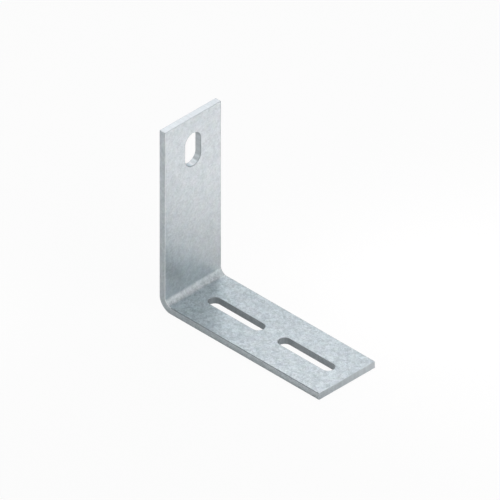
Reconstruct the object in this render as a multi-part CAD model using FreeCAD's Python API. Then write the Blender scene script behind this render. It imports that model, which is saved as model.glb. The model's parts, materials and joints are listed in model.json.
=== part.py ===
"""Cable tray bracket: one length of flat steel strip, folded once into an L.

The stem stands upright and is bolted back against a wall or a channel through
one wide slot. The foot runs forward under the tray, which is bolted down
through two long narrow slots.

Frame, in millimetres: X runs along the foot, away from the wall. Y runs across
the strip, and Z runs up the stem. The origin is on the plane that the foot
stands on, under the middle of the folded bracket.
"""

import FreeCAD
import Part
import os
from math import cos, radians, sin

# The steel strip. The rolls leave its two long edges slightly round.
STRIP_WIDTH = 40.0
STRIP_THICKNESS = 4.0
ROLLED_EDGE_RADIUS = 0.25

# Sheared ends and punched rims, softened by the zinc that coats them.
CUT_EDGE_RADIUS = 0.25

# The fold, which is a right angle. Both lengths are taken over its outside.
FOOT_LENGTH = 114.0
STEM_HEIGHT = 110.0
INNER_BEND_RADIUS = 4.0

# The slot in the stem, and the steel that is left above it.
STEM_SLOT_WIDTH = 11.0
STEM_SLOT_LENGTH = 20.0
STEM_SLOT_MARGIN = 10.0

# The slots in the foot, and the steel that is left beyond and between them.
FOOT_SLOT_COUNT = 2
FOOT_SLOT_WIDTH = 7.0
FOOT_SLOT_LENGTH = 38.0
FOOT_SLOT_MARGIN = 10.0
FOOT_SLOT_WEB = 12.0

# Places that follow from those sizes.
OUTER_BEND_RADIUS = INNER_BEND_RADIUS + STRIP_THICKNESS
BACK_X = -FOOT_LENGTH / 2
TIP_X = BACK_X + FOOT_LENGTH
BEND_X = BACK_X + OUTER_BEND_RADIUS
BEND_Z = OUTER_BEND_RADIUS
STEM_SLOT_Z = STEM_HEIGHT - STEM_SLOT_MARGIN - STEM_SLOT_LENGTH / 2
LAST_FOOT_SLOT_X = TIP_X - FOOT_SLOT_MARGIN - FOOT_SLOT_LENGTH / 2
FOOT_SLOT_PITCH = FOOT_SLOT_LENGTH + FOOT_SLOT_WEB

# Directions, turns in degrees, and how close two places must be to count as one.
FORWARD = FreeCAD.Vector(1, 0, 0)
ACROSS = FreeCAD.Vector(0, 1, 0)
UP = FreeCAD.Vector(0, 0, 1)
QUARTER_TURN = 90.0
HALF_TURN = 180.0
SAME_PLACE = 1e-6


def arc_about(centre, radius, start_angle, swept_angle):
    """An arc in the XY plane, run anticlockwise about centre from start_angle."""
    points = []
    for share in (0.0, 0.5, 1.0):
        angle = radians(start_angle + share * swept_angle)
        points.append(centre + FreeCAD.Vector(cos(angle), sin(angle), 0) * radius)
    return Part.Arc(*points).toShape()


def closed_face(arcs):
    """A flat face whose outline runs round the arcs, with straight lines between them."""
    edges = []
    for arc, following in zip(arcs, arcs[1:] + arcs[:1]):
        edges.append(arc)
        start = arc.lastVertex(True).Point
        end = following.firstVertex(True).Point
        edges.append(Part.LineSegment(start, end).toShape())
    return Part.Face(Part.Wire(edges))


def placed(position, own_x, own_y, own_z):
    """The placement that puts a shape at position, with its own axes along the three given."""
    return FreeCAD.Placement(position, FreeCAD.Rotation(own_x, own_y, own_z, "XYZ"))


def strip_section():
    """The strip cut across where the foot meets the bend."""
    reach = STRIP_WIDTH / 2 - ROLLED_EDGE_RADIUS
    rise = STRIP_THICKNESS / 2 - ROLLED_EDGE_RADIUS
    arcs = []
    for turn, (side, level) in enumerate(((1, 1), (-1, 1), (-1, -1), (1, -1))):
        corner = FreeCAD.Vector(side * reach, level * rise, 0)
        arcs.append(arc_about(corner, ROLLED_EDGE_RADIUS, turn * QUARTER_TURN, QUARTER_TURN))
    section = closed_face(arcs)
    middle = FreeCAD.Vector(BEND_X, 0, STRIP_THICKNESS / 2)
    section.Placement = placed(middle, ACROSS, UP, FORWARD)
    return section


def folded_strip():
    """Foot, bend and stem: the strip's section pushed forward, swung up, and pushed up."""
    section = strip_section()
    foot = section.extrude(FORWARD * (TIP_X - BEND_X))
    bend_axis = FreeCAD.Vector(BEND_X, 0, BEND_Z)
    bend = section.revolve(bend_axis, ACROSS, QUARTER_TURN)
    stem_section = section.copy()
    stem_section.rotate(bend_axis, ACROSS, QUARTER_TURN)
    stem = stem_section.extrude(UP * (STEM_HEIGHT - BEND_Z))
    return foot.fuse([bend, stem]).removeSplitter()


def slot_punch(length, width):
    """A round-ended tool as tall as the strip is thick. It runs along its own X."""
    half_run = (length - width) / 2
    front = arc_about(FORWARD * half_run, width / 2, -QUARTER_TURN, HALF_TURN)
    rear = arc_about(FORWARD * -half_run, width / 2, QUARTER_TURN, HALF_TURN)
    return closed_face([front, rear]).extrude(UP * STRIP_THICKNESS)


def foot_slot_punches():
    """One tool for each slot in the foot, counted back from the free end."""
    punches = []
    for index in range(FOOT_SLOT_COUNT):
        punch = slot_punch(FOOT_SLOT_LENGTH, FOOT_SLOT_WIDTH)
        punch.translate(FORWARD * (LAST_FOOT_SLOT_X - index * FOOT_SLOT_PITCH))
        punches.append(punch)
    return punches


def stem_slot_punch():
    """The tool for the upright slot near the top of the stem."""
    punch = slot_punch(STEM_SLOT_LENGTH, STEM_SLOT_WIDTH)
    punch.Placement = placed(FreeCAD.Vector(BACK_X, 0, STEM_SLOT_Z), UP, -ACROSS, FORWARD)
    return punch


def is_sheared_end(face):
    """Whether a flat face is the foot's tip or the stem's top."""
    centre = face.CenterOfMass
    at_tip = abs(centre.x - TIP_X) < SAME_PLACE
    at_top = abs(centre.z - STEM_HEIGHT) < SAME_PLACE
    return at_tip or at_top


def cut_edges(bracket):
    """The rims of the punched slots and of the two sheared ends."""
    rims = []
    for face in bracket.Faces:
        if not isinstance(face.Surface, Part.Plane):
            continue
        if is_sheared_end(face):
            rims += face.OuterWire.Edges
        for wire in face.Wires:
            if not wire.isSame(face.OuterWire):
                rims += wire.Edges
    return rims


def make_bracket():
    """The folded strip with its slots punched and its cut edges softened."""
    bracket = folded_strip().cut(foot_slot_punches() + [stem_slot_punch()])
    return bracket.makeFillet(CUT_EDGE_RADIUS, cut_edges(bracket))


os.makedirs("parts", exist_ok=True)
make_bracket().exportStep("parts/bracket.step")
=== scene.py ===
"""The dressed model of a cable tray bracket in hot-dip galvanised steel.

The bracket is one length of flat steel strip: punched, sheared to length and
folded once into an L, then dipped whole in molten zinc. Everything is in
metres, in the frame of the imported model. X runs along the foot, away from the
wall, Y across the strip and Z up the stem.
"""

import json
import logging
from collections.abc import Callable, Iterator
from contextlib import contextmanager
from dataclasses import dataclass
from enum import Enum
from math import cos, hypot, radians, sin, sqrt, tau

import bpy
from mathutils import Matrix, Vector


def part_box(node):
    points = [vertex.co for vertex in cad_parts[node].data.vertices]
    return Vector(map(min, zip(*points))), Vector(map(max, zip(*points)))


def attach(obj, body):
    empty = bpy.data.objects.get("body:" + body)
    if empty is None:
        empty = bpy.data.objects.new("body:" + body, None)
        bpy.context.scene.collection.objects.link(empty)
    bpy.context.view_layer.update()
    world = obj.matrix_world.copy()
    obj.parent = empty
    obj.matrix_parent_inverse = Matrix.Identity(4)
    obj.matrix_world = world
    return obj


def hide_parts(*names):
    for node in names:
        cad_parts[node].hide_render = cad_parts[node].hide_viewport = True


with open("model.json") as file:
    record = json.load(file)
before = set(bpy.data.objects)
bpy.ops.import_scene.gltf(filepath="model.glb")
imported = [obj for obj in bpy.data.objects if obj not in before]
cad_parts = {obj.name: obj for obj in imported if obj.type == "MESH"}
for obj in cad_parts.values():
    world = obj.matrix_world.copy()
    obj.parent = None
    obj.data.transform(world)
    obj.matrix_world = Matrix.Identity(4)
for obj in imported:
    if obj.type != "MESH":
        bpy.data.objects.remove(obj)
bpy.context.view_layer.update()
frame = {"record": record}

log = logging.getLogger("bracket")

MM = 0.001
QUARTER_TURN = tau / 4
X_AXIS, Y_AXIS, Z_AXIS = (Vector(row) for row in Matrix.Identity(3))

# The bracket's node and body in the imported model, and the record's material slot.
BRACKET_NODE = "bracket"
BRACKET_BODY = "root"

# Sizes that the record doesn't hold.
INNER_BEND_RADIUS = 4.0 * MM
ROLLED_EDGE_RADIUS = 0.25 * MM
CUT_EDGE_RADIUS = 0.25 * MM

# Points nearer than this are one point.
SAME_PLACE = 0.001 * MM

# Two directions are one where their dot product is over the first of these, and stand at right
# angles where it is under the second.
SAME_DIRECTION = 0.995
RIGHT_ANGLE = 1 - SAME_DIRECTION

# Where a Mix node that mixes colours keeps its two colours and its result.
COLOUR_A, COLOUR_B, COLOUR_RESULT = 6, 7, 2

# A chance value lies around mid grey, and mostly between these two.
MID_GREY = 0.5
USUAL_LOW, USUAL_HIGH = 0.25, 0.75

# The strength of light that the camera sees as plain white.
PLAIN_WHITE = 1.0


class Surface(Enum):
    """Which finish a face of the strip gets, by how it was made and by the highlight or shade painted
    on it. The value is its material slot on the mesh.
    """

    ROLLED = 0
    # The round of the long edges, in rough zinc with painted shade.
    ROUNDED = 1
    # The round along the stem's near inner edge, with a painted highlight.
    RUBBED = 2
    CUT = 3
    # Sheared zinc with painted shade, on slot rims and the walls of narrow slots.
    POOLED = 4


def deselect_all() -> None:
    """Deselects every object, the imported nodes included."""
    bpy.ops.object.select_all(action="DESELECT")


def make_active(piece: bpy.types.Object) -> None:
    """Leaves piece as the one selected and active object.

    Args:
        piece: The object that the next operators act on.
    """
    deselect_all()
    piece.select_set(True)
    bpy.context.view_layer.objects.active = piece


@contextmanager
def edit_mode(piece: bpy.types.Object, elements: str) -> Iterator[None]:
    """Opens piece in edit mode, and leaves edit mode at the end.

    Args:
        piece: The mesh object to shape.
        elements: What is selected there: VERT, EDGE or FACE.

    Yields:
        Nothing: the block's operators act on what is selected.
    """
    make_active(piece)
    bpy.ops.object.mode_set(mode="EDIT")
    bpy.ops.mesh.select_mode(type=elements)
    yield
    bpy.ops.object.mode_set(mode="OBJECT")


def select_vertices(piece: bpy.types.Object, wanted: Callable[[Vector], bool]) -> None:
    """Selects, from object mode, only the vertices that wanted picks by their place.

    Args:
        piece: The mesh object whose vertices are selected.
        wanted: Says of one place whether its vertex is selected.
    """
    mesh = piece.data
    for element in (*mesh.edges, *mesh.polygons):
        element.select = False
    for vertex in mesh.vertices:
        vertex.select = wanted(vertex.co)


def select_faces(piece: bpy.types.Object, wanted: Callable[[bpy.types.MeshPolygon], bool]) -> None:
    """Selects, from object mode, only the faces that wanted picks.

    Args:
        piece: The mesh object whose faces are selected.
        wanted: Says of one face whether it is selected.
    """
    mesh = piece.data
    for element in (*mesh.vertices, *mesh.edges):
        element.select = False
    for face in mesh.polygons:
        face.select = wanted(face)


def apply_modifier(piece: bpy.types.Object, kind: str, **settings: object) -> None:
    """Adds one modifier to piece and applies it.

    Args:
        piece: The mesh object to finish.
        kind: The modifier's type, such as BOOLEAN.
        **settings: Values for the modifier's own properties.
    """
    make_active(piece)
    modifier = piece.modifiers.new(kind.title(), kind)
    for name, value in settings.items():
        setattr(modifier, name, value)
    bpy.ops.object.modifier_apply(modifier=modifier.name)


@dataclass(frozen=True)
class Slot:
    """A round-ended slot, punched straight through the strip.

    Attributes:
        centre: The slot's middle, on either face of the strip.
        run: The direction of its length.
        through: The direction that the punch travels in.
        length: From end to end, its round ends included.
        width: Across, which is also the diameter of its ends.
        sides: How many flats the two round ends have together.
    """

    centre: Vector
    run: Vector
    through: Vector
    length: float
    width: float
    sides: int = 64

    @property
    def across(self) -> Vector:
        """The direction of the slot's width."""
        return self.through.cross(self.run)

    @property
    def half_run(self) -> float:
        """How far each round end's centre lies from the slot's middle."""
        return (self.length - self.width) / 2

    def punch(self, reach: float) -> bpy.types.Object:
        """Models the punch: a cylinder whose two halves are drawn apart along the run.

        Args:
            reach: How far the punch stands out on each side of the slot's centre.

        Returns:
            The punch, with its place in its mesh.
        """
        deselect_all()
        half_side = tau / self.sides / 2
        bpy.ops.mesh.primitive_cylinder_add(
            vertices=self.sides, radius=self.width / 2 / cos(half_side), depth=2 * reach
        )
        tool = bpy.context.active_object
        tool.data.transform(Matrix.Rotation(half_side, 4, "Z"))
        for end in (1, -1):
            select_vertices(tool, lambda place: place.x * end > 0)
            with edit_mode(tool, "VERT"):
                bpy.ops.transform.translate(value=X_AXIS * end * self.half_run)
        turn = Matrix((self.run, self.across, self.through)).transposed()
        tool.data.transform(Matrix.Translation(self.centre) @ turn.to_4x4())
        return tool

    def left(self, face: bpy.types.MeshPolygon, margin: float) -> bool:
        """Says whether the punch left a face, on the slot's wall or its rim.

        Args:
            face: A face of the punched strip.
            margin: How far the rim's rounding reaches outside the slot's outline.

        Returns:
            True for the wall and its rounded rims, and False for the strip's own faces.
        """
        away = face.center - self.centre
        past_end = max(abs(away.dot(self.run)) - self.half_run, 0.0)
        near = hypot(past_end, away.dot(self.across)) < self.width / 2 + margin
        return near and abs(face.normal.dot(self.through)) < SAME_DIRECTION


def slots_of(mount: dict) -> list[Slot]:
    """Reads one slotted bolt pattern of the record.

    Args:
        mount: The record's entry for the pattern.

    Returns:
        One slot for each bolt, in order along the pattern.
    """
    sizes = mount["dims"]
    through = Vector(mount["axis"])
    crossing = [axis for axis in (X_AXIS, Y_AXIS, Z_AXIS) if not axis.dot(through)]
    spacings = zip(("spacing_x_mm", "spacing_y_mm"), crossing)
    spacing, run = next((sizes[name], axis) for name, axis in spacings if name in sizes)
    slots = []
    for index in range(sizes["count"]):
        shift = (index - (sizes["count"] - 1) / 2) * spacing * MM
        centre = Vector(mount["pos_m"]) + run * shift
        length, width = sizes["slot_length_mm"] * MM, 2 * sizes["hole_r_mm"] * MM
        slots.append(Slot(centre, run, through, length, width))
    return slots


@dataclass(frozen=True)
class Strip:
    """The flat steel strip, folded once and not yet punched.

    Attributes:
        back: Where the stem's rear face stands on X.
        tip: Where the foot ends on X.
        top: The height of the stem.
        width: The strip's width, across Y.
        thickness: The strip's thickness.
        inner_radius: The radius of the fold on its inside.
        rolled_radius: The radius of the strip's two long edges, left by the rolls.
        fold_steps: How many flats the fold has.
        edge_steps: How many flats each long edge has.
    """

    back: float
    tip: float
    top: float
    width: float
    thickness: float
    inner_radius: float = INNER_BEND_RADIUS
    rolled_radius: float = ROLLED_EDGE_RADIUS
    fold_steps: int = 24
    edge_steps: int = 6

    @property
    def fold_axis(self) -> Vector:
        """The line that the strip is folded about, where it crosses the middle plane."""
        outer_radius = self.inner_radius + self.thickness
        return Vector((self.back + outer_radius, 0.0, outer_radius))

    def model(self) -> bpy.types.Object:
        """Draws out the section along the foot, swings it round the fold and draws it up.

        Returns:
            The folded strip as one closed mesh.
        """
        strip = self.section()
        axis = self.fold_axis
        with edit_mode(strip, "FACE"):
            bpy.ops.mesh.select_all(action="SELECT")
            self.draw_out(X_AXIS * (self.tip - axis.x))
        select_faces(strip, lambda face: face.normal.x < -SAME_DIRECTION)
        with edit_mode(strip, "FACE"):
            bpy.ops.mesh.spin(steps=self.fold_steps, angle=QUARTER_TURN, center=axis, axis=-Y_AXIS)
            self.draw_out(Z_AXIS * (self.top - axis.z))
            bpy.ops.mesh.select_all(action="SELECT")
            bpy.ops.mesh.remove_doubles(threshold=SAME_PLACE)
            bpy.ops.mesh.normals_make_consistent(inside=False)
        return strip

    def section(self) -> bpy.types.Object:
        """Models the strip's section where the foot meets the fold, its corners rounded.

        Returns:
            One flat face that looks along the foot.
        """
        deselect_all()
        bpy.ops.mesh.primitive_plane_add(
            size=1.0,
            location=(self.fold_axis.x, 0.0, self.thickness / 2),
            rotation=(0.0, QUARTER_TURN, 0.0),
        )
        section = bpy.context.active_object
        section.scale = (self.thickness, self.width, 1.0)
        bpy.ops.object.transform_apply(location=True, rotation=True, scale=True)
        with edit_mode(section, "VERT"):
            bpy.ops.mesh.select_all(action="SELECT")
            bpy.ops.mesh.bevel(
                offset=self.rolled_radius, segments=self.edge_steps, affect="VERTICES"
            )
        return section

    @staticmethod
    def draw_out(travel: Vector) -> None:
        """Extrudes the selected end of the strip along travel."""
        bpy.ops.mesh.extrude_region_move(TRANSFORM_OT_translate={"value": travel})


def colour(hex_code: str) -> tuple[float, float, float, float]:
    """Turns an sRGB hex value into a linear colour.

    Args:
        hex_code: Six hex digits after a hash sign.

    Returns:
        Red, green, blue and an alpha of 1.
    """
    channels = [int(hex_code[place : place + 2], 16) / 255 for place in (1, 3, 5)]
    # The sRGB curve is straight next to black, and a power of the value above that.
    linear = [c / 12.92 if c <= 0.04045 else ((c + 0.055) / 1.055) ** 2.4 for c in channels]
    return (*linear, 1.0)


def add_node(
    tree: bpy.types.NodeTree,
    kind: str,
    settings: dict[str, object] | None = None,
    sockets: dict[str | int, object] | None = None,
) -> bpy.types.Node:
    """Adds one shader node, sets it up and links it.

    Args:
        tree: The node tree to add to.
        kind: The node's class name.
        settings: Values for the node's own properties.
        sockets: For each input, another node's output or a plain value.

    Returns:
        The new node.
    """
    node = tree.nodes.new(kind)
    for name, value in (settings or {}).items():
        setattr(node, name, value)
    for place, source in (sockets or {}).items():
        if isinstance(source, bpy.types.NodeSocket):
            tree.links.new(source, node.inputs[place])
        else:
            node.inputs[place].default_value = source
    return node


@dataclass(frozen=True)
class ZincCoating:
    """Hot-dip galvanising over the strip's rolled faces.

    Molten zinc freezes on the steel as a skin of small crystals, and each dulls in
    its own way, some rougher and some greyer. The zinc runs off upright faces and
    lies thicker on level ones, where its crystals differ more. That gives the eye a
    fine angular mottle, lively on the foot and quiet on the stem.

    Attributes:
        name: The material's name.
        dull: The zinc of the greyest crystals.
        bright: The zinc of the brightest crystals.
        crystal_size: The width of the largest crystals.
        finer_sorts: How many finer sorts of crystal grow over them.
        finer_step: How many times narrower each finer sort is than the one before it.
        finer_share: How strongly each finer sort shows, next to the one before it.
        upright_contrast: How strong the mottle is on upright faces, next to level ones.
        fray_size: The width of the nibbles in the crystals' borders.
        fray_sorts: How many finer sorts of nibble lie over them, each half as wide.
        fray_reach: How deep those nibbles go.
        cloud_size: The width of the cloudy patches, where the zinc ran thicker.
        cloud_sorts: How many finer sorts of patch lie over them, each half as wide.
        cloud_finer_share: How strongly each finer sort of patch shows, next to the one before it.
        cloud_share: How much of the mottle is the clouds', and not the crystals'.
        hue_spread: How far the thin film on a patch strays from grey.
        roughness: The roughness of the smoothest and the roughest crystals.
    """

    name: str = "hot_dip_galvanised_zinc"
    dull: str = "#ACB5B9"
    bright: str = "#D7DFE3"
    crystal_size: float = 1.6 * MM
    finer_sorts: float = 2.0
    finer_step: float = 2.0
    finer_share: float = 1.0
    upright_contrast: float = 0.5
    fray_size: float = 0.8 * MM
    fray_sorts: float = 1.0
    fray_reach: float = 0.5 * MM
    cloud_size: float = 4.5 * MM
    cloud_sorts: float = 3.0
    cloud_finer_share: float = 0.6
    cloud_share: float = 0.25
    hue_spread: float = 0.05
    roughness: tuple[float, float] = (0.3, 0.41)

    def material(self) -> bpy.types.Material:
        """Builds the coating's nodes.

        Returns:
            The material, ready for a material slot.
        """
        material = bpy.data.materials.new(self.name)
        material.use_nodes = True
        tree = material.node_tree
        shader = tree.nodes["Principled BSDF"]
        shader.inputs["Metallic"].default_value = 1.0
        surface = add_node(tree, "ShaderNodeTexCoord").outputs
        place = surface["Object"]
        clouds = add_node(
            tree,
            "ShaderNodeTexNoise",
            {},
            {
                "Vector": place,
                "Scale": 1 / self.cloud_size,
                "Detail": self.cloud_sorts,
                "Roughness": self.cloud_finer_share,
            },
        ).outputs["Color"]
        mottle = add_node(
            tree,
            "ShaderNodeMix",
            {"data_type": "RGBA"},
            {
                "Factor": self.cloud_share,
                COLOUR_A: self.crystals(tree, place),
                COLOUR_B: clouds,
            },
        ).outputs[COLOUR_RESULT]
        calmed = self.calmed(tree, mottle, surface["Normal"])
        chance = add_node(tree, "ShaderNodeSeparateColor", {}, {"Color": calmed}).outputs
        zinc = add_node(
            tree,
            "ShaderNodeMix",
            {"data_type": "RGBA"},
            {
                "Factor": self.stretched(tree, chance["Red"], 0.0, 1.0),
                COLOUR_A: colour(self.dull),
                COLOUR_B: colour(self.bright),
            },
        ).outputs[COLOUR_RESULT]
        filmed = add_node(
            tree,
            "ShaderNodeVectorMath",
            {"operation": "MULTIPLY_ADD"},
            {0: clouds, 1: Vector.Fill(3, self.hue_spread), 2: zinc},
        ).outputs["Vector"]
        tree.links.new(filmed, shader.inputs["Base Color"])
        rough = self.stretched(tree, chance["Green"], *self.roughness)
        tree.links.new(rough, shader.inputs["Roughness"])
        return material

    def crystals(self, tree: bpy.types.NodeTree, place: bpy.types.NodeSocket) -> bpy.types.NodeSocket:
        """Adds the crystals: large ones, and the finer sorts grown over them.

        Args:
            tree: The material's nodes.
            place: The place on the object.

        Returns:
            Chance values for each crystal, as a colour around mid grey.
        """
        fray = add_node(
            tree,
            "ShaderNodeTexNoise",
            {},
            {"Vector": place, "Scale": 1 / self.fray_size, "Detail": self.fray_sorts},
        ).outputs["Color"]
        frayed = add_node(
            tree,
            "ShaderNodeVectorMath",
            {"operation": "MULTIPLY_ADD"},
            {0: fray, 1: Vector.Fill(3, self.fray_reach), 2: place},
        ).outputs["Vector"]
        return add_node(
            tree,
            "ShaderNodeTexVoronoi",
            {"normalize": True},
            {
                "Vector": frayed,
                "Scale": 1 / self.crystal_size,
                "Detail": self.finer_sorts,
                "Roughness": self.finer_share,
                "Lacunarity": self.finer_step,
            },
        ).outputs["Color"]

    def calmed(
        self, tree: bpy.types.NodeTree, mottle: bpy.types.NodeSocket, normal: bpy.types.NodeSocket
    ) -> bpy.types.NodeSocket:
        """Makes the mottle fainter on upright faces.

        Args:
            tree: The material's nodes.
            mottle: The chance values.
            normal: The direction that the face looks in, on the object.

        Returns:
            The chance values, drawn towards mid grey where the face is upright.
        """
        rise = add_node(tree, "ShaderNodeSeparateXYZ", {}, {"Vector": normal}).outputs["Z"]
        level = add_node(tree, "ShaderNodeMath", {"operation": "ABSOLUTE"}, {0: rise}).outputs["Value"]
        contrast = add_node(
            tree, "ShaderNodeMapRange", {}, {"Value": level, "To Min": self.upright_contrast}
        ).outputs["Result"]
        return add_node(
            tree,
            "ShaderNodeMix",
            {"data_type": "RGBA"},
            {"Factor": contrast, COLOUR_A: (MID_GREY, MID_GREY, MID_GREY, 1.0), COLOUR_B: mottle},
        ).outputs[COLOUR_RESULT]

    @staticmethod
    def stretched(
        tree: bpy.types.NodeTree, chance: bpy.types.NodeSocket, low: float, high: float
    ) -> bpy.types.NodeSocket:
        """Stretches the middle of a chance value, where most of it lies, from low to high.

        Args:
            tree: The material's nodes.
            chance: A chance value.
            low: What its usual low becomes.
            high: What its usual high becomes.

        Returns:
            The stretched value.
        """
        return add_node(
            tree,
            "ShaderNodeMapRange",
            {},
            {
                "Value": chance,
                "From Min": USUAL_LOW,
                "From Max": USUAL_HIGH,
                "To Min": low,
                "To Max": high,
            },
        ).outputs["Result"]


# The round of the strip's long edges gets rougher zinc in a darker colour. The darker colour is painted
# shade, which dims the edges' highlights and gives the eye a crisp dark outline.
ZINC_PAINTED_EDGE_SHADE = ZincCoating("rough_zinc_edge_painted_shade", dull="#949DA1", bright="#B0B9BD", roughness=(0.8, 1.0))

# The round along the stem's near inner edge gets a paler zinc. The pale colour is a painted highlight:
# a thin light line from the stem's top round the inside of the bend.
ZINC_PAINTED_HIGHLIGHT = ZincCoating("zinc_edge_painted_highlight", dull="#E4E9EC", bright="#F4F7F8", roughness=(0.5, 0.7))


@dataclass(frozen=True)
class ShearedZinc:
    """Galvanising over steel that was punched or sheared.

    The cut drags fine tears straight through the strip's thickness, and the zinc
    over them stays duller than on the rolled faces. That gives the eye short
    parallel streaks from face to face of the strip.

    Attributes:
        name: The material's name.
        seat: The inner faces of the stem and the foot, as X and Z. No streak turns there.
        shade: The zinc in the tears.
        light: The zinc between them.
        tear_size: The distance from tear to tear.
        tear_sorts: How many finer sorts of tear lie over them, each half as wide.
        tear_height: How deep the tears are.
        roughness: How rough the zinc is there.
    """

    seat: Vector
    name: str = "galvanised_sheared_steel"
    shade: str = "#B2B9BD"
    light: str = "#D4DCE0"
    tear_size: float = 1.1 * MM
    tear_sorts: float = 2.0
    tear_height: float = 0.02 * MM
    roughness: float = 0.35

    def material(self) -> bpy.types.Material:
        """Builds the cut faces' nodes.

        Returns:
            The material, ready for a material slot.
        """
        material = bpy.data.materials.new(self.name)
        material.use_nodes = True
        tree = material.node_tree
        shader = tree.nodes["Principled BSDF"]
        shader.inputs["Metallic"].default_value = 1.0
        shader.inputs["Roughness"].default_value = self.roughness
        place = add_node(tree, "ShaderNodeTexCoord").outputs["Object"]
        # Held at the inner faces, a place doesn't change through the strip's thickness.
        along_rim = add_node(
            tree, "ShaderNodeVectorMath", {"operation": "MAXIMUM"}, {0: place, 1: self.seat}
        ).outputs["Vector"]
        tears = add_node(
            tree,
            "ShaderNodeTexNoise",
            {},
            {"Vector": along_rim, "Scale": 1 / self.tear_size, "Detail": self.tear_sorts},
        ).outputs["Fac"]
        zinc = add_node(
            tree,
            "ShaderNodeMix",
            {"data_type": "RGBA"},
            {"Factor": tears, COLOUR_A: colour(self.shade), COLOUR_B: colour(self.light)},
        ).outputs[COLOUR_RESULT]
        tree.links.new(zinc, shader.inputs["Base Color"])
        torn = add_node(
            tree, "ShaderNodeBump", {}, {"Height": tears, "Distance": self.tear_height}
        ).outputs["Normal"]
        tree.links.new(torn, shader.inputs["Normal"])
        return material


@dataclass(frozen=True)
class Bracket:
    """The finished bracket: the folded strip, its slots and its softened cut edges.

    Attributes:
        strip: The folded strip.
        slots: The slots that are punched through it.
        cut_radius: The radius of slot rims and sheared ends under their zinc.
        cut_steps: How many flats each of those edges has.
        painted_shade_width: The width under which a slot's walls get painted shade.
        sharp: The least angle of an edge that a punch or a shear left.
        smooth: The greatest angle that is shaded as one surface.
        area_weight: How far large faces sway the shading where they meet small ones, of 100.
    """

    strip: Strip
    slots: list[Slot]
    cut_radius: float = CUT_EDGE_RADIUS
    cut_steps: int = 3
    painted_shade_width: float = 9.0 * MM
    sharp: float = radians(60.0)
    smooth: float = radians(40.0)
    area_weight: int = 100

    def model(self) -> bpy.types.Object:
        """Punches the strip and softens its cut edges.

        Returns:
            The bracket as one closed mesh.
        """
        bracket = self.strip.model()
        bracket.name = bracket.data.name = "galvanised_bracket"
        for slot in self.slots:
            tool = slot.punch(2 * self.strip.thickness)
            apply_modifier(bracket, "BOOLEAN", object=tool, operation="DIFFERENCE", solver="EXACT")
            bpy.data.objects.remove(tool)
        self.soften_cut_edges(bracket)
        return bracket

    def soften_cut_edges(self, bracket: bpy.types.Object) -> None:
        """Rounds every edge that a punch or a shear left, and smooths the shading.

        Args:
            bracket: The punched strip.
        """
        with edit_mode(bracket, "EDGE"):
            bpy.ops.mesh.select_all(action="DESELECT")
            bpy.ops.mesh.edges_select_sharp(sharpness=self.sharp)
            bpy.ops.mesh.bevel(offset=self.cut_radius, segments=self.cut_steps, affect="EDGES")
        make_active(bracket)
        bpy.ops.object.shade_smooth_by_angle(angle=self.smooth)
        apply_modifier(bracket, "WEIGHTED_NORMAL", weight=self.area_weight, keep_sharp=True)

    def dress(self, bracket: bpy.types.Object) -> None:
        """Gives rolled and cut faces their finishes.

        Args:
            bracket: The modelled bracket.
        """
        # No place lies below this seat on Y, so Y is never held there.
        seat = Vector((self.strip.back + self.strip.thickness, -self.strip.width, self.strip.thickness))
        # The foot's narrow slots get darker, rougher sheared zinc on their walls, and every slot gets
        # it on its rims. The darker colour is painted shade. It makes the walls in the foot's slots
        # dark, and with the roughness it dims the rims' glint.
        shaded_cut_finish = ShearedZinc(
            seat, "sheared_zinc_painted_shade", shade="#A2A8AC", light="#C1C8CB", roughness=0.65
        )
        finishes = {
            Surface.ROLLED: ZincCoating(),
            Surface.ROUNDED: ZINC_PAINTED_EDGE_SHADE,
            Surface.RUBBED: ZINC_PAINTED_HIGHLIGHT,
            Surface.CUT: ShearedZinc(seat),
            Surface.POOLED: shaded_cut_finish,
        }
        bracket.data.materials.clear()
        for finish in finishes.values():
            bracket.data.materials.append(finish.material())
        for face in bracket.data.polygons:
            face.material_index = self.surface_of(face).value

    def surface_of(self, face: bpy.types.MeshPolygon) -> Surface:
        """Says which finish a face gets.

        Args:
            face: A face of the modelled bracket.

        Returns:
            CUT for what a punch or a shear left, and POOLED, darker with painted shade, where that is a
            slot's rim or a narrow slot's wall. RUBBED, a painted highlight, for the round along the
            stem's near inner edge, ROUNDED, darker with painted shade, for the round of all other long
            edges, and ROLLED for the rest.
        """
        margin = self.cut_radius
        if face.center.x > self.strip.tip - margin or face.center.z > self.strip.top - margin:
            return Surface.CUT
        for slot in self.slots:
            if slot.left(face, margin):
                # A slot's rims, and the walls of a narrow slot, get painted shade.
                on_rim = abs(face.normal.dot(slot.through)) > RIGHT_ANGLE
                return Surface.POOLED if on_rim or slot.width < self.painted_shade_width else Surface.CUT
        normal = face.normal
        if not RIGHT_ANGLE < abs(normal.y) < SAME_DIRECTION:
            return Surface.ROLLED
        # The round along the stem's near inner edge gets a painted highlight. The other rounds get
        # painted shade.
        inner = normal.x > RIGHT_ANGLE
        return Surface.RUBBED if inner and normal.y < 0 else Surface.ROUNDED


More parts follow.
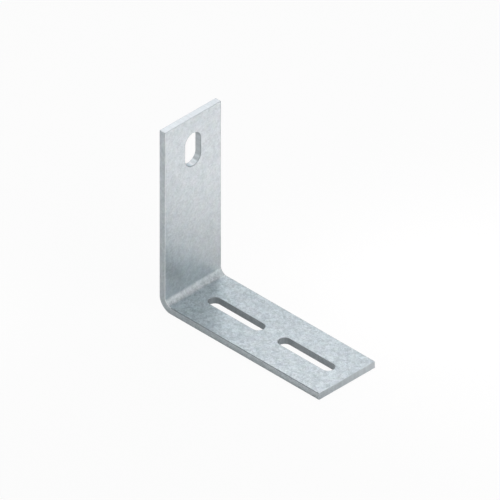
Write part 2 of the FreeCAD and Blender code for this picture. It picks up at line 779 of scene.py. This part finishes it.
@dataclass(frozen=True)
class IsometricView:
    """A camera that sees the three directions of the object equally foreshortened.

    Attributes:
        target: The point that the middle of the picture shows.
        pixels_per_mm: The length in the picture of a millimetre along X, Y or Z.
        picture_width: The picture's width in pixels.
        distance: How far the camera stands from the target.
    """

    target: Vector
    pixels_per_mm: float = 1.6167
    picture_width: int = 500
    distance: float = 1.0

    def add(self) -> None:
        """Adds the camera and makes it the scene's."""
        # The three directions lie equally far out of the picture, and each looks this much shorter.
        foreshortening = sqrt(2 / 3)
        lens = bpy.data.cameras.new("isometric_view")
        lens.type = "ORTHO"
        lens.ortho_scale = self.picture_width * foreshortening / self.pixels_per_mm * MM
        camera = bpy.data.objects.new("isometric_view", lens)
        back = (X_AXIS - Y_AXIS + Z_AXIS).normalized()
        camera.location = self.target + back * self.distance
        camera.rotation_mode = "QUATERNION"
        camera.rotation_quaternion = back.to_track_quat("Z", "Y")
        bpy.context.scene.collection.objects.link(camera)
        bpy.context.scene.camera = camera


@dataclass(frozen=True)
class Softbox:
    """A square studio lamp that looks at a point near the bracket.

    Attributes:
        name: The lamp's name.
        target: The point that it looks at.
        azimuth: Its bearing from that point, in degrees from X towards Y.
        elevation: How high it stands over that point, in degrees.
        distance: How far away it stands.
        side: The length of its side.
        power: What it gives out, in watts.
        tint: The colour of its light.
        spread: The angle that it shines into, in degrees. A grid over the lamp narrows it.
    """

    name: str
    target: Vector
    azimuth: float
    elevation: float
    distance: float
    side: float
    power: float
    tint: str
    spread: float = 180.0

    def add(self) -> None:
        """Adds the lamp, which no camera sees straight on."""
        light = bpy.data.lights.new(self.name, "AREA")
        light.shape = "SQUARE"
        light.size = self.side
        light.energy = self.power
        light.color = colour(self.tint)[:3]
        light.spread = radians(self.spread)
        lamp = bpy.data.objects.new(self.name, light)
        bearing, rise = radians(self.azimuth), radians(self.elevation)
        back = Vector((cos(bearing) * cos(rise), sin(bearing) * cos(rise), sin(rise)))
        lamp.location = self.target + back * self.distance
        lamp.rotation_mode = "QUATERNION"
        lamp.rotation_quaternion = back.to_track_quat("Z", "Y")
        lamp.visible_camera = False
        bpy.context.scene.collection.objects.link(lamp)


@dataclass(frozen=True)
class Studio:
    """A pale floor in a plain, dim room.

    Attributes:
        floor_side: The length of the floor's side.
        floor_drop: How far the floor lies under the bracket.
        floor_colour: The paper's own colour.
        room_colour: The colour of the room's even light.
        room_strength: The strength of that light.
        camera_share: How much of the floor and the room the camera sees as plain white. The rest
            of the floor is the paper itself, with the bracket's shadow on it.
        gloss_share: How much of the floor and the room metal and glass see as plain white.
    """

    floor_side: float = 6.0
    floor_drop: float = 0.05 * MM
    floor_colour: str = "#E7E7E7"
    room_colour: str = "#FFFFFF"
    room_strength: float = 0.2
    camera_share: float = 0.94
    gloss_share: float = 0.05

    def lay_floor(self) -> None:
        """Lays the floor just under the bracket."""
        deselect_all()
        bpy.ops.mesh.primitive_plane_add(
            size=self.floor_side, location=(0.0, 0.0, -self.floor_drop)
        )
        floor = bpy.context.active_object
        floor.name = floor.data.name = "studio_floor"
        floor.data.materials.append(self.floor_paper())

    def floor_paper(self) -> bpy.types.Material:
        """Builds matt pale paper.

        It was pulled off a wide roll in one length, with no seam or sheen. That gives the eye an
        even ground that holds nothing but the bracket's shadow.

        Returns:
            The material, ready for a material slot.
        """
        material = bpy.data.materials.new("studio_paper")
        material.use_nodes = True
        tree = material.node_tree
        tree.nodes.clear()
        paper = add_node(
            tree, "ShaderNodeBsdfDiffuse", {}, {"Color": colour(self.floor_colour)}
        ).outputs["BSDF"]
        white = add_node(
            tree, "ShaderNodeEmission", {}, {"Strength": PLAIN_WHITE}
        ).outputs["Emission"]
        mixed = add_node(
            tree, "ShaderNodeMixShader", {}, {0: self.white_share(tree), 1: paper, 2: white}
        ).outputs["Shader"]
        add_node(tree, "ShaderNodeOutputMaterial", {}, {"Surface": mixed})
        return material

    def fill_room(self) -> None:
        """Gives the room its even light."""
        room = bpy.data.worlds.new("studio_room")
        room.use_nodes = True
        tree = room.node_tree
        background = tree.nodes["Background"]
        background.inputs["Color"].default_value = colour(self.room_colour)
        strength = add_node(
            tree,
            "ShaderNodeMix",
            {},
            {"Factor": self.white_share(tree), "A": self.room_strength, "B": PLAIN_WHITE},
        ).outputs["Result"]
        tree.links.new(strength, background.inputs["Strength"])
        bpy.context.scene.world = room

    def white_share(self, tree: bpy.types.NodeTree) -> bpy.types.NodeSocket:
        """Says how much of the floor or the room is seen as plain white, by who sees it.

        Args:
            tree: The floor's nodes, or the room's.

        Returns:
            The share, which is nothing where the floor and the room light the bracket.
        """
        seen_by = add_node(tree, "ShaderNodeLightPath").outputs
        reflected = add_node(
            tree,
            "ShaderNodeMath",
            {"operation": "MAXIMUM"},
            {0: seen_by["Is Glossy Ray"], 1: seen_by["Is Transmission Ray"]},
        ).outputs["Value"]
        reflected_share = add_node(
            tree, "ShaderNodeMath", {"operation": "MULTIPLY"}, {0: reflected, 1: self.gloss_share}
        ).outputs["Value"]
        return add_node(
            tree,
            "ShaderNodeMath",
            {"operation": "MULTIPLY_ADD"},
            {0: seen_by["Is Camera Ray"], 1: self.camera_share, 2: reflected_share},
        ).outputs["Value"]


# The point of the bracket that the middle of the picture shows.
PICTURE_CENTRE = Vector((-6.18, -6.18, 54.38)) * MM

# Where the lamps look: the bracket's middle, the top of its stem, and the floor off the foot's
# far corner, beside the foot and behind the stem.
MIDDLE = Vector((0.0, 0.0, 40.0)) * MM
STEM_TOP = Vector((-55.0, 0.0, 110.0)) * MM
FAR_CORNER = Vector((130.0, 150.0, 0.0)) * MM
FOOT_SIDE = Vector((20.0, 80.0, 0.0)) * MM
WALL_SIDE = Vector((-150.0, -120.0, 0.0)) * MM

# The lamps' colours. The two tints are faint, and between them they leave grey grey.
WHITE = "#FFFFFF"
WARM = "#FFF8F7"
COOL = "#ECF8FF"

# The angle, in degrees, that a lamp with a grid shines into.
GRIDDED = 60.0

# The wide lamps are dim, so that no side of the bracket glares in a view from low down. Those
# with a grid hang straight over the floor, for the paper that the metal mirrors. From 60 degrees
# up and from overhead the foot mirrors two of them as well, and its far side burns out.
# Each row gives a name, a target, a bearing, a rise, a distance, a side, a power and a tint. A
# lamp with a grid adds the angle that it shines into.
LAMPS = (
    Softbox("front_softbox", MIDDLE, 0.0, 20.0, 0.9, 1.3, 6.4, WHITE),
    Softbox("wall_softbox", MIDDLE, 228.0, 8.0, 0.9, 0.9, 1.8, WHITE),
    Softbox("overhead_softbox", MIDDLE, 45.0, 65.0, 0.9, 0.6, 0.8, WHITE),
    Softbox("back_softbox", MIDDLE, 120.0, 20.0, 0.9, 0.6, 0.88, COOL),
    Softbox("stem_top_softbox", STEM_TOP, 135.0, 50.0, 0.35, 0.2, 0.235, WARM),
    Softbox("stem_slot_softbox", STEM_TOP, 200.0, 50.0, 0.35, 0.2, 0.18, WHITE),
    Softbox("far_corner_lamp", FAR_CORNER, 0.0, 90.0, 0.3, 0.2, 0.152, WARM, GRIDDED),
    Softbox("foot_side_lamp", FOOT_SIDE, 0.0, 90.0, 0.15, 0.1, 0.022, WARM, GRIDDED),
    Softbox("wall_side_lamp", WALL_SIDE, 0.0, 90.0, 0.15, 0.1, 0.015, WHITE, GRIDDED),
)


def measure_bracket(record: dict) -> Bracket:
    """Works out the bracket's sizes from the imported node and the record's mounts.

    Args:
        record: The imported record.

    Returns:
        The bracket, ready to model.
    """
    mounts = {mount["name"]: mount for mount in record["mounts"]}
    low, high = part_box(BRACKET_NODE)
    thickness = mounts["tray_seat"]["pos_m"][2] - mounts["underside"]["pos_m"][2]
    strip = Strip(low.x, high.x, high.z, high.y - low.y, thickness)
    slots = slots_of(mounts["stem_slot"]) + slots_of(mounts["foot_slots"])
    return Bracket(strip, slots)


def main() -> None:
    """Builds the bracket, its finishes, the studio and the camera."""
    logging.basicConfig(level=logging.INFO, format="%(name)s: %(message)s")
    design = measure_bracket(frame["record"])
    bracket = design.model()
    design.dress(bracket)
    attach(bracket, BRACKET_BODY)
    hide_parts(BRACKET_NODE)
    log.info("%s: %d faces", bracket.name, len(bracket.data.polygons))

    studio = Studio()
    studio.lay_floor()
    studio.fill_room()
    for lamp in LAMPS:
        lamp.add()
    IsometricView(PICTURE_CENTRE).add()
    bpy.context.scene.view_settings.view_transform = "Standard"


if __name__ == "__main__":
    main()
